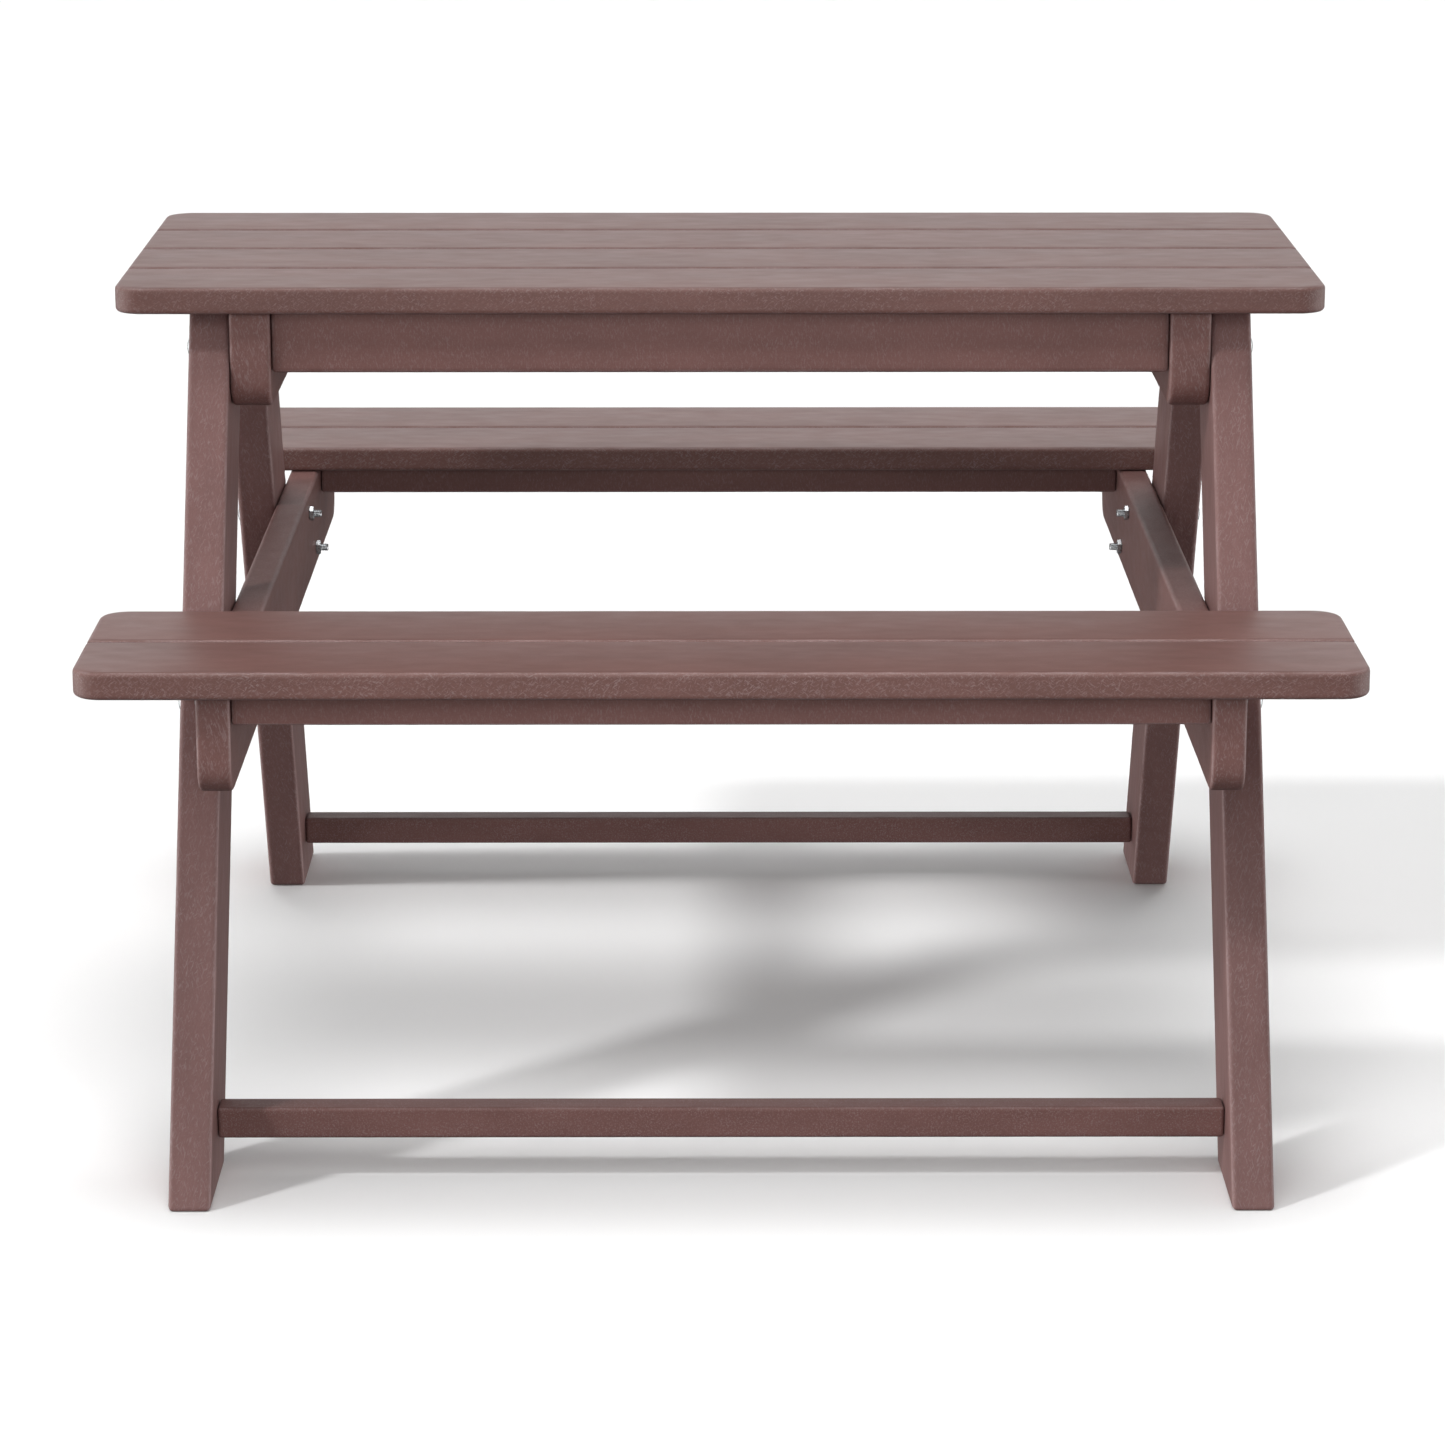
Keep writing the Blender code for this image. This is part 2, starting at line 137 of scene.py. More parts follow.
# Patterns in the lumber: cells per metre along a board, across it and through its thickness
BLOTCH_CELLS = (9.0, 26.0, 26.0)
STREAK_CELLS = (14.0, 420.0, 420.0)
FIBRE_AREA_CELLS = (30.0, 60.0, 60.0)
# Patches of the painted highlight and wear on rounded edges
EDGE_HIGHLIGHT_CELLS = (45.0, 90.0, 90.0)
GRAIN_CELLS = (620.0, 1500.0, 1500.0)
DULLING_CELLS = (40.0, 90.0, 90.0)
RIPPLE_CELLS = (55.0, 150.0, 150.0)
PEBBLE_CELLS = (420.0, 700.0, 700.0)
BOARD_SHIFT = (7.3, 11.7, 5.9)          # moves the patterns from one board to the next
BLOTCH_DEPTH = 0.09
BOARD_TONE = 0.18                       # how far a whole board may be lighter or darker

# Fibres: their cells, their limits in the noise, and their turns in a board's own axes
SHORT_FIBRE = (260.0, 1050.0, 1050.0)
LONG_FIBRE = (130.0, 900.0, 900.0)
FIBRE_LIMITS = (0.57, 0.58, 0.60)
FIBRE_SOFTNESS = 0.12
FIBRE_TINT = 0.31
ROUTED = ((0.0, 0.6, 0.0), (0.0, -0.6, 0.0), (0.3, 1.2, 0.4))
UPRIGHT = ((0.0, 0.3, 0.0), (0.0, -0.3, 0.0), (0.0, 0.8, 0.3))
CROSS = ((0.3, 0.0, 1.57), (-0.3, 0.0, 1.27), (0.2, 0.0, 1.87))

# Relief: how high each pattern stands, and how strongly it shows
CROWN = 0.55                # how strongly the skin's relief curves across a board, per metre
RIPPLE_BUMP = (0.0011, 0.32)
STREAK_BUMP = (0.00006, 0.5)
PEBBLE_BUMP = (0.00045, 0.30)
FIBRE_BUMP = (0.00016, 0.45)

# Zinc
ZINC_PATCH_CELLS = (240.0, 240.0, 240.0)
ZINC_GRAIN_CELLS = (1800.0, 1800.0, 500.0)
ZINC_BUMP = (0.00005, 0.4)

# Camera and lights
CAMERA_PLACE = (-0.0088, -3.4915, 1.1289)
CAMERA_PITCH = math.radians(14.445)
CAMERA_YAW = math.radians(0.178)
CAMERA_LENS = 118.7
KEY_DIRECTION = (-1.15, -0.57, 1.0)
KEY_SIZE = math.radians(6.0)
KEY_POWER = 1.5
FRONT_PLACE = (0.0, -1.4, 0.85)
FRONT_TARGET = (0.0, -0.3, 0.3)
FRONT_SIZE = 1.1
FRONT_POWER = 8.6
FLOOR_HALF_SIZE = 30.0
FLOOR_LEVEL = -0.0002

# Surround: each light sets in or fades out between two values of a direction's X, Y or Z
CEILING_RISE = (0.95, 0.985)
CEILING_LIGHT = 10.0
BACKDROP_RISE = (0.45, 0.85)
BACKDROP_FOOT = (0.06, 0.18)
BACKDROP_FALL = (0.32, 0.70)
BACKDROP_LIGHT = 1.25
SIDE_RISE = (0.65, 0.92)
SIDE_FALL = (0.15, 0.45)
SIDE_LIGHT = 3.2
SURROUND_LIGHT = 0.13


# ---------------------------------------------------------------- materials

class Nodes:
    """A small helper for wiring a material's nodes."""

    def __init__(self, name):
        self.material = bpy.data.materials.new(name)
        self.material.use_nodes = True
        self.tree = self.material.node_tree
        self.shader = self.tree.nodes["Principled BSDF"]

    def add(self, kind, **settings):
        """A node with its properties and unlinked inputs set."""
        node = self.tree.nodes.new(kind)
        for key, value in settings.items():
            if key in node.inputs:
                node.inputs[key].default_value = value
            else:
                setattr(node, key, value)
        return node

    def link(self, source, target):
        self.tree.links.new(source, target)

    def turned(self, vector, turn):
        node = self.add("ShaderNodeVectorRotate", rotation_type="EULER_XYZ", Rotation=turn)
        self.link(vector, node.inputs["Vector"])
        return node.outputs["Vector"]

    def noise(self, vector, cells, detail=2.0, roughness=0.5):
        """Noise with so many cells per metre along each axis."""
        stretched = self.add("ShaderNodeVectorMath", operation="MULTIPLY")
        stretched.inputs[1].default_value = cells
        self.link(vector, stretched.inputs[0])
        node = self.add("ShaderNodeTexNoise", Scale=1.0, Detail=detail, Roughness=roughness)
        self.link(stretched.outputs["Vector"], node.inputs["Vector"])
        return node.outputs["Fac"]

    def ramp(self, value, low, high, to_low=0.0, to_high=1.0):
        """The value mapped from low..high to to_low..to_high, clamped."""
        node = self.add("ShaderNodeMapRange", clamp=True)
        settings = {"From Min": low, "From Max": high, "To Min": to_low, "To Max": to_high}
        for key, number in settings.items():
            node.inputs[key].default_value = number
        self.link(value, node.inputs["Value"])
        return node.outputs["Result"]

    def maths(self, operation, first, second=0.0):
        node = self.add("ShaderNodeMath", operation=operation)
        for socket, value in zip(node.inputs, (first, second)):
            if isinstance(value, float):
                socket.default_value = value
            else:
                self.link(value, socket)
        return node.outputs["Value"]

    def mix(self, factor, first, second):
        """A colour between two colours."""
        node = self.add("ShaderNodeMix", data_type="RGBA")
        self.link(factor, node.inputs["Factor"])
        for socket, value in ((node.inputs[6], first), (node.inputs[7], second)):
            if isinstance(value, tuple):
                socket.default_value = (*value, 1.0)
            else:
                self.link(value, socket)
        return node.outputs[2]

    def bump(self, height, look, under=None):
        """A normal bent by a height, whose look is its distance and strength."""
        distance, strength = look
        node = self.add("ShaderNodeBump", Strength=strength, Distance=distance)
        self.link(height, node.inputs["Height"])
        if under is not None:
            self.link(under, node.inputs["Normal"])
        return node.outputs["Normal"]


class Lumber(Nodes):
    """Recycled plastic lumber, in the board's own axes: X along it and Z through its thickness.

    Its moulded skin is smooth with faint long streaks; sawn and routed faces are full of short
    fibres. face_fibre says how fibrous the broad faces are, next to the edges. tilt turns the
    piece's own axes into the board's.
    """

    def __init__(self, name, colour, gloss, fibre_cells, fibre_turns, face_fibre, tilt=(0.0, 0.0, 0.0)):
        super().__init__(name)
        self.colour = colour
        self.read_board(tilt)
        self.sawn = self.ramp(self.flatness, 0.80, 0.97, 1.0, face_fibre)
        self.streak = self.pattern(STREAK_CELLS)
        self.fibres = self.all_fibres(fibre_cells, fibre_turns)
        self.link(self.final_colour(), self.shader.inputs["Base Color"])
        self.link(self.final_roughness(), self.shader.inputs["Roughness"])
        self.link(self.final_relief(), self.shader.inputs["Normal"])
        self.shader.inputs["Specular IOR Level"].default_value = gloss

    def read_board(self, tilt):
        """The place in the board, the spot in its patterns, and how squarely a broad face points."""
        texture = self.add("ShaderNodeTexCoord")
        self.place = self.turned(texture.outputs["Object"], tilt)
        facing = self.add("ShaderNodeSeparateXYZ")
        self.link(self.turned(texture.outputs["Normal"], tilt), facing.inputs["Vector"])
        self.flatness = self.maths("ABSOLUTE", facing.outputs["Z"])
        self.board = self.add("ShaderNodeObjectInfo").outputs["Location"]
        shift = self.add("ShaderNodeVectorMath", operation="MULTIPLY_ADD")
        shift.inputs[1].default_value = BOARD_SHIFT
        self.link(self.board, shift.inputs[0])
        self.link(self.place, shift.inputs[2])
        self.spot = shift.outputs["Vector"]

    def pattern(self, cells, detail=2.0, roughness=0.5):
        return self.noise(self.spot, cells, detail, roughness)

    def shade(self, factor):
        return tuple(factor * part for part in self.colour)

    def all_fibres(self, cells, turns):
        """Short fibres in three directions, thick in some areas and sparse in others."""
        area = self.ramp(self.pattern(FIBRE_AREA_CELLS), 0.35, 0.65, 0.50, 1.0)
        fibres = None
        for turn, limit in zip(turns, FIBRE_LIMITS):
            one_way = self.noise(self.turned(self.spot, turn), cells, 1.5, 0.55)
            fibre = self.ramp(one_way, limit, limit + FIBRE_SOFTNESS)
            fibres = fibre if fibres is None else self.maths("MAXIMUM", fibres, fibre)
        return self.maths("MULTIPLY", self.maths("MULTIPLY", fibres, area), self.sawn)

    def final_colour(self):
        # Slow blotches, and one tone for each board
        blotch = self.pattern(BLOTCH_CELLS, 3.0, 0.6)
        tone = self.add("ShaderNodeTexWhiteNoise", noise_dimensions="3D")
        self.link(self.board, tone.inputs["Vector"])
        whole = self.ramp(tone.outputs["Value"], 0.0, 1.0, -BOARD_TONE, BOARD_TONE)
        lightness = self.maths("ADD", self.ramp(blotch, 0.32, 0.68), whole)
        body = self.mix(lightness, self.shade(1.0 - BLOTCH_DEPTH), self.shade(1.0 + BLOTCH_DEPTH))

        # Long faint streaks in the skin, and pale fibres where it is cut
        streaked = self.mix(self.ramp(self.streak, 0.42, 0.72, 0.0, 0.09), body, self.shade(0.75))
        flecked = self.mix(self.maths("MULTIPLY", self.fibres, FIBRE_TINT), streaked, PALE)

        # Rounded edges painted paler, in patches: a painted highlight along the roundovers, with a little
        # wear
        leaving_side = self.ramp(self.flatness, 0.40, 0.75)
        nearing_face = self.ramp(self.flatness, 0.90, 0.985, 1.0, 0.0)
        rounded = self.maths("MULTIPLY", leaving_side, nearing_face)
        # How much paler each patch of a rounded edge is painted, as highlight and wear
        edge_highlight_and_wear = self.ramp(self.pattern(EDGE_HIGHLIGHT_CELLS, 3.0), 0.35, 0.65, 0.06, 0.30)
        highlighted_and_worn = self.mix(self.maths("MULTIPLY", rounded, edge_highlight_and_wear), flecked, PALE)

        # Fine darker grain between the fibres
        grain = self.ramp(self.pattern(GRAIN_CELLS), 0.40, 0.62, 0.20, 0.0)
        return self.mix(grain, highlighted_and_worn, self.shade(0.62))

    def final_roughness(self):
        """A satin skin, duller where the fibres break it."""
        satin = self.ramp(self.pattern(DULLING_CELLS, 3.0), 0.3, 0.7, 0.38, 0.45)
        return self.maths("ADD", satin, self.maths("MULTIPLY", self.sawn, 0.10))

    def final_relief(self):
        """A slight crown, slow ripples, the long streaks, pebbling, and fibres that stand proud."""
        across = self.add("ShaderNodeSeparateXYZ")
        self.link(self.place, across.inputs["Vector"])
        square = self.maths("MULTIPLY", across.outputs["Y"], across.outputs["Y"])
        skin = self.bump(self.maths("MULTIPLY", square, -CROWN), (1.0, 1.0))
        ripple = self.pattern(RIPPLE_CELLS)
        ripple = self.maths("MULTIPLY", ripple, self.ramp(self.sawn, 0.0, 1.0, 0.07, 1.0))
        skin = self.bump(ripple, RIPPLE_BUMP, skin)
        skin = self.bump(self.streak, STREAK_BUMP, skin)
        pebble = self.pattern(PEBBLE_CELLS, 3.0, 0.6)
        pebble = self.maths("MULTIPLY", pebble, self.ramp(self.sawn, 0.0, 1.0, 0.25, 1.0))
        skin = self.bump(pebble, PEBBLE_BUMP, skin)
        return self.bump(self.fibres, FIBRE_BUMP, skin)


def zinc_material(name):
    """Bright zinc plating with a faint grain and dull patches."""
    n = Nodes(name)
    place = n.add("ShaderNodeTexCoord").outputs["Object"]
    patch = n.noise(place, ZINC_PATCH_CELLS, 3.0)
    n.link(n.mix(patch, DULL_ZINC, BRIGHT_ZINC), n.shader.inputs["Base Color"])
    fine = n.noise(place, ZINC_GRAIN_CELLS)
    n.link(n.ramp(fine, 0.3, 0.7, 0.20, 0.36), n.shader.inputs["Roughness"])
    n.link(n.bump(fine, ZINC_BUMP), n.shader.inputs["Normal"])
    n.shader.inputs["Metallic"].default_value = 1.0
    return n.material


def floor_material():
    """Plain white paper sweep."""
    n = Nodes("studio_floor")
    n.shader.inputs["Base Color"].default_value = (*FLOOR_WHITE, 1.0)
    n.shader.inputs["Roughness"].default_value = 0.9
    n.shader.inputs["Specular IOR Level"].default_value = FLOOR_GLOSS
    return n.material


# ---------------------------------------------------------------- mesh tools

def mesh_of(bm, name):
    mesh = bpy.data.meshes.new(name)
    bm.to_mesh(mesh)
    bm.free()
    return mesh


def new_object(name, mesh, matrix=None):
    item = bpy.data.objects.new(name, mesh)
    bpy.context.scene.collection.objects.link(item)
    if matrix is not None:
        item.matrix_world = matrix
    return item


def evaluated(item):
    """The mesh of an object after its modifiers; the object is removed."""
    bpy.context.view_layer.update()
    graph = bpy.context.evaluated_depsgraph_get()
    mesh = bpy.data.meshes.new_from_object(item.evaluated_get(graph))
    bpy.data.objects.remove(item, do_unlink=True)
    return mesh


def combine(mesh, other, operation):
    """One mesh cut by, or joined with, another."""
    item = new_object("work", mesh)
    tool = new_object("tool", other)
    step = item.modifiers.new("combine", "BOOLEAN")
    step.operation = operation
    step.solver = "EXACT"
    step.object = tool
    made = evaluated(item)
    bpy.data.objects.remove(tool, do_unlink=True)
    return made


def turned(profile, steps=HARDWARE_STEPS):
    """A solid of revolution about Z from (radius, height) points, listed from the top down."""
    bm = bmesh.new()
    verts = [bm.verts.new((radius, 0.0, height)) for radius, height in profile]
    edges = [bm.edges.new(pair) for pair in zip(verts, verts[1:])]
    bmesh.ops.spin(bm, geom=verts + edges, axis=(0, 0, 1), cent=(0, 0, 0),
                   angle=math.tau, steps=steps, use_merge=True)
    bmesh.ops.remove_doubles(bm, verts=bm.verts, dist=1e-6)
    bmesh.ops.recalc_face_normals(bm, faces=bm.faces)
    return mesh_of(bm, "turned")


def cleaned(mesh):
    """The mesh without the slivers that its Booleans left."""
    bm = bmesh.new()
    bm.from_mesh(mesh)
    bmesh.ops.remove_doubles(bm, verts=bm.verts, dist=2e-6)
    bmesh.ops.dissolve_degenerate(bm, dist=2e-6, edges=bm.edges)
    return mesh_of(bm, "cleaned")


def gathered(parts, name):
    """One mesh from pairs of a mesh and its place."""
    bm = bmesh.new()
    for mesh, matrix in parts:
        start = len(bm.verts)
        bm.from_mesh(mesh)
        bm.verts.ensure_lookup_table()
        bmesh.ops.transform(bm, matrix=matrix, verts=bm.verts[start:])
    return mesh_of(bm, name)


def placed(point, outward):
    """The matrix that stands a fastener at point, its head facing outward."""
    turn = Vector(outward).to_track_quat("Z", "Y")
    return Matrix.Translation(point) @ turn.to_matrix().to_4x4()


def dome(radius, base, rim, height, steps):
    """A domed profile from its top at base + height down to the upper edge of its rim."""
    points = [(0.0, base + height)]
    for step in range(1, steps + 1):
        turn = math.radians(90 - 90 * step / steps)
        points.append((radius * math.cos(turn), base + rim + (height - rim) * math.sin(turn)))
    return points


def finished(mesh, slot, sharp_angle):
    """The mesh, smooth and in its material."""
    mesh.shade_smooth()
    mesh.set_sharp_from_angle(angle=math.radians(sharp_angle))
    mesh.materials.clear()
    mesh.materials.append(MATERIALS[slot])
    return mesh


def add_piece(name, mesh, matrix=None, node=None):
    """A visible piece, in place of a CAD node if it has one."""
    piece = new_object(name, mesh, matrix)
    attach(piece, "root")
    if node:
        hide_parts(node)


# ---------------------------------------------------------------- holes and fastener places

class Hole:
    """A hole for one fastener: its place, its cutter's shape and the space that it takes."""

    def __init__(self, matrix, profile):
        self.matrix = matrix
        self.profile = profile
        ends = [matrix @ Vector((0, 0, height)) for height in (profile[0][1], profile[-1][1])]
        reach = Vector([max(radius for radius, _ in profile)] * 3)
        self.low = Vector(map(min, *ends)) - reach
        self.high = Vector(map(max, *ends)) + reach

    def meets(self, low, high):
        return all(self.low[i] < high[i] and self.high[i] > low[i] for i in range(3))


def bore(radius, depth):
    return [(0.0, OVERCUT), (radius, OVERCUT), (radius, -depth), (0.0, -depth)]


def countersunk(depth, sink):
    rim = -sink - COUNTERSINK_RIM
    cone = COUNTERSINK_RADIUS - SCREW_HOLE_RADIUS
    return [(0.0, OVERCUT), (COUNTERSINK_RADIUS, OVERCUT), (COUNTERSINK_RADIUS, rim),
            (SCREW_HOLE_RADIUS, rim - cone), (SCREW_HOLE_RADIUS, SCREW_HOLE_TIP - depth), (0.0, -depth)]


def centre(node):
    low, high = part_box(node)
    return (low + high) / 2


def face(node, axis, side):
    """Where a node's outermost face lies on one axis, on the low (-1) or high (1) side."""
    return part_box(node)[side > 0][axis]


def bolt_places():
    """The place of every bolt by its node's name, at the face that its head rests on."""
    places = {}
    for end in ENDS:
        for side, sign in SIDES.items():
            for joint in ("batten", "rail"):
                for level in ("upper", "lower"):
                    name = f"{end}_{side}_{joint}_bolt_{level}"
                    middle = centre(name)
                    seat = face(f"{end}_{side}_leg", 0, sign)
                    places[name] = placed((seat, middle.y, middle.z), (sign, 0, 0))
    return places


def outward_screw(seat_node, sign, middle):
    """The place of a screw along X, its head on a node's outer face."""
    return placed((face(seat_node, 0, sign), middle.y, middle.z), (sign, 0, 0))


def upward_screw(node, x, y):
    """The place of a screw that is driven up into a node from below."""
    return placed((x, y, face(node, 2, -1)), (0, 0, -1))


def side_screw_places():
    """Screws along X, through the legs, rails and battens into the ends of the long bars."""
    bars, stretchers, aprons = [], [], []
    for end in ENDS:
        for side, sign in SIDES.items():
            rail, leg, batten = side + "_seat_rail", f"{end}_{side}_leg", side + "_top_batten"
            bars += [outward_screw(rail, sign, centre(f"{end}_{row}_seat_bar")) for row in ROWS]
            stretchers.append(outward_screw(leg, sign, centre(end + "_foot_stretcher")))
            apron = centre(end + "_table_apron")
            aprons.append(outward_screw(batten, sign, Vector((apron.x, apron.y, APRON_SCREW_Z))))
    return bars, stretchers, aprons


def under_screw_places():
    """Screws driven up into the seat boards and the tabletop."""
    seats, battens, aprons, cleats = [], [], [], []
    for end, toward in ENDS.items():
        rows_y = [toward * y for y in (abs(centre("rear_inner_top_board").y), OUTER_TOP_SCREW_Y)]
        for side in SIDES:
            batten = side + "_top_batten"
            battens += [upward_screw(batten, centre(batten).x, y) for y in rows_y]
        for row in ROWS:
            bar = f"{end}_{row}_seat_bar"
            seats += [upward_screw(bar, x, centre(bar).y) for x in SEAT_SCREWS_X]
        apron = end + "_table_apron"
        aprons += [upward_screw(apron, x, centre(apron).y) for x in APRON_SCREWS_X]
        cleats += [upward_screw("middle_top_cleat", 0.0, y) for y in rows_y]
    return seats, battens, aprons, cleats


def screw_kinds():
    """Each kind of screw: its places, its length, and how deep its head is sunk.

    A screw with a round head, which stands on the face, has None for its sink.
    """
    bars, stretchers, aprons = side_screw_places()
    seats, top_battens, top_aprons, cleats = under_screw_places()
    reach = face("front_inner_top_board", 2, -1) + BOARD_SCREW_BITE
    batten_depth = reach - face("left_top_batten", 2, -1)
    apron_depth = reach - face("front_table_apron", 2, -1)
    return {
        "seat_bar_screws": (bars, BAR_SCREW_LENGTH, None),
        "stretcher_screws": (stretchers, STRETCHER_SCREW_LENGTH, 0.0),
        "apron_end_screws": (aprons, BAR_SCREW_LENGTH, 0.0),
        "seat_board_screws": (seats, SHORT_SCREW_LENGTH, 0.0),
        "batten_top_screws": (top_battens, LONG_SCREW_LENGTH, batten_depth - LONG_SCREW_LENGTH),
        "apron_top_screws": (top_aprons, SHORT_SCREW_LENGTH, apron_depth - SHORT_SCREW_LENGTH),
        "cleat_top_screws": (cleats, SHORT_SCREW_LENGTH, 0.0),
    }


def all_holes(bolts, screws):
    """Every hole in the lumber."""
    holes = [Hole(matrix, bore(BOLT_HOLE_RADIUS, BOLT_HOLE_DEPTH)) for matrix in bolts.values()]
    for places, length, sink in screws.values():
        shape = bore(SCREW_HOLE_RADIUS, length) if sink is None else countersunk(length + sink, sink)
        holes += [Hole(matrix, shape) for matrix in places]
    return holes


# ---------------------------------------------------------------- lumber

# Directions of a board's length, width and thickness
FLAT_ALONG_X = ((1, 0, 0), (0, 1, 0), (0, 0, 1))
UPRIGHT_ALONG_X = ((1, 0, 0), (0, 0, 1), (0, -1, 0))
FLAT_ALONG_Y = ((0, 1, 0), (-1, 0, 0), (0, 0, 1))
UPRIGHT_ALONG_Y = ((0, 1, 0), (0, 0, 1), (1, 0, 0))

# Corner radii of a board's broad face, for its four quarters in turn
SQUARE = (0, 0, 0, 0)
LOWER_ROUNDED = (0, 0, END_CORNER, END_CORNER)
PLAN_ROUNDED = {1: (PLAN_CORNER, PLAN_CORNER, 0, 0), -1: (0, 0, PLAN_CORNER, PLAN_CORNER)}


def leaning(toward):
    """Directions for a leg at the front (-1) or the rear (1)."""
    s, c = math.sin(LEG_LEAN), math.cos(LEG_LEAN)
    return ((0, -toward * s, c), (0, -c, -toward * s), (1, 0, 0))


def outline(length, width, radii, skew):
    """Corner points of a board's broad face; skew slants its ends."""
    points = []
    for quarter, radius in enumerate(radii):
        x_side = 1 if quarter in (0, 3) else -1
        y_side = 1 if quarter in (0, 1) else -1
        corner = Vector((x_side * (length / 2 - radius), y_side * (width / 2 - radius)))
        steps = CORNER_STEPS if radius else 0
        for step in range(steps + 1):
            turn = math.radians(90 * (quarter + (step / steps if steps else 0.5)))
            point = corner + radius * Vector((math.cos(turn), math.sin(turn)))
            points.append((point.x + skew * point.y, point.y))
    return points


def plain_board(length, width, thickness, radii, skew, roundover):
    """A board with routed edges, before its holes."""
    bm = bmesh.new()
    verts = [bm.verts.new((x, y, -thickness / 2)) for x, y in outline(length, width, radii, skew)]
    below = bm.faces.new(verts)
    made = bmesh.ops.extrude_face_region(bm, geom=[below])
    raised = [part for part in made["geom"] if isinstance(part, bmesh.types.BMVert)]
    bmesh.ops.translate(bm, vec=(0, 0, thickness), verts=raised)
    bmesh.ops.recalc_face_normals(bm, faces=bm.faces)
    sharp = [edge for edge in bm.edges if edge.calc_face_angle() > math.radians(30)]
    bmesh.ops.bevel(bm, geom=sharp, offset=roundover, segments=ROUNDOVER_STEPS,
                    profile=0.5, affect="EDGES", clamp_overlap=True)
    return mesh_of(bm, "board")


def drilled(mesh, matrix, holes):
    """The board with its holes; matrix is the board's place."""
    if not holes:
        return mesh
    cutters = gathered([(turned(hole.profile), hole.matrix) for hole in holes], "holes")
    cutters.transform(matrix.inverted())
    return combine(mesh, cutters, "DIFFERENCE")


def cuts(half, roundover):
    """Evenly spaced cuts between two roundovers, with one close to each of them."""
    edge = half - roundover - EDGE_CUT
    count = max(1, round(2 * edge / CELL))
    return [edge * (2 * step / count - 1) for step in range(count + 1)]


def unevenness(point, seed):
    """How deep a face sinks at a point: long shallow hollows with shorter ripples."""
    slow = noise.noise(point * Vector(HOLLOWS) + seed)
    quick = noise.noise(point * Vector(RIPPLES) - seed)
    return UNEVENNESS * (0.5 + 0.36 * slow + 0.14 * quick)


def weathered(mesh, half_size, roundover, seed):
    """The board cut into small cells, each pushed in a little, so that no face is dead flat."""
    bm = bmesh.new()
    bm.from_mesh(mesh)
    for axis, half in enumerate(half_size):
        normal = [0.0, 0.0, 0.0]
        normal[axis] = 1.0
        for level in cuts(half, roundover):
            point = [part * level for part in normal]
            geometry = bm.verts[:] + bm.edges[:] + bm.faces[:]
            bmesh.ops.bisect_plane(bm, geom=geometry, plane_co=point, plane_no=normal, dist=1e-5)
    bmesh.ops.remove_doubles(bm, verts=bm.verts, dist=1e-6)
    bm.normal_update()
    moves = [(vert, vert.normal * unevenness(vert.co, seed)) for vert in bm.verts]
    for vert, move in moves:
        vert.co -= move
    return mesh_of(bm, "uneven_board")


def board_size(low, high, directions, lean):
    """Length, width and thickness of the board that fills a CAD node's box."""
    size = high - low
    if not lean:
        return [abs(size.dot(Vector(direction))) for direction in directions]
    width = size.y * math.cos(LEG_LEAN) - size.z * math.sin(LEG_LEAN)
    return [size.z / math.cos(LEG_LEAN), width, size.x]


def add_board(node, directions, slot, roundover, holes, radii=SQUARE, lean=0):
    """A finished board in place of a CAD node."""
    low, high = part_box(node)
    middle = (low + high) / 2
    matrix = Matrix.Translation(middle) @ Matrix(directions).transposed().to_4x4()
    length, width, thickness = board_size(low, high, directions, lean)
    skew = lean * math.tan(LEG_LEAN)
    mesh = plain_board(length, width, thickness, radii, skew, roundover)
    mesh = drilled(mesh, matrix, [hole for hole in holes if hole.meets(low, high)])
    half_length = length / 2 + abs(skew) * width / 2
    mesh = weathered(mesh, (half_length, width / 2, thickness / 2), roundover, middle * SEED_SPREAD)
    finished(mesh, slot, LUMBER_SHARP_ANGLE)
    if lean:
        # The lean goes into the mesh, so that the piece's own box stays square to the table
        upright = Matrix.Translation(middle) @ Matrix.Rotation(0.0 if lean < 0 else math.pi, 4, "Z")
        mesh.transform(upright.inverted() @ matrix)
        matrix = upright
    add_piece(node + "_lumber", mesh, matrix, node)


def add_end(end, toward, holes):
    """The boards of the front or the rear half, toward -Y or +Y."""
    def board(name, directions, slot, roundover, **more):
        add_board(f"{end}_{name}", directions, slot, roundover, holes, **more)

    board("inner_top_board", FLAT_ALONG_X, "top_lumber", BOARD_ROUNDOVER)
    board("outer_top_board", FLAT_ALONG_X, "top_lumber", BOARD_ROUNDOVER, radii=PLAN_ROUNDED[toward])
    for row, corners in (("outer", toward), ("inner", -toward)):
        board(row + "_seat_board", FLAT_ALONG_X, "seat_lumber", BOARD_ROUNDOVER,
              radii=PLAN_ROUNDED[corners])
        board(row + "_seat_bar", UPRIGHT_ALONG_X, "frame_lumber", BAR_ROUNDOVER)
    for side in SIDES:
        board(side + "_leg", leaning(toward), "leg_lumber", FRAME_ROUNDOVER, lean=toward)
    board("table_apron", UPRIGHT_ALONG_X, "frame_lumber", FRAME_ROUNDOVER)
    board("foot_stretcher", FLAT_ALONG_X, "frame_lumber", BAR_ROUNDOVER)


def add_lumber(holes):
    """Every board of the table."""
    for end, toward in ENDS.items():
        add_end(end, toward, holes)
    for side in SIDES:
        for part in ("top_batten", "seat_rail"):
            add_board(f"{side}_{part}", UPRIGHT_ALONG_Y, "frame_lumber", FRAME_ROUNDOVER, holes,
                      LOWER_ROUNDED)
    add_board("middle_top_cleat", FLAT_ALONG_Y, "frame_lumber", BAR_ROUNDOVER, holes)


# ---------------------------------------------------------------- hardware

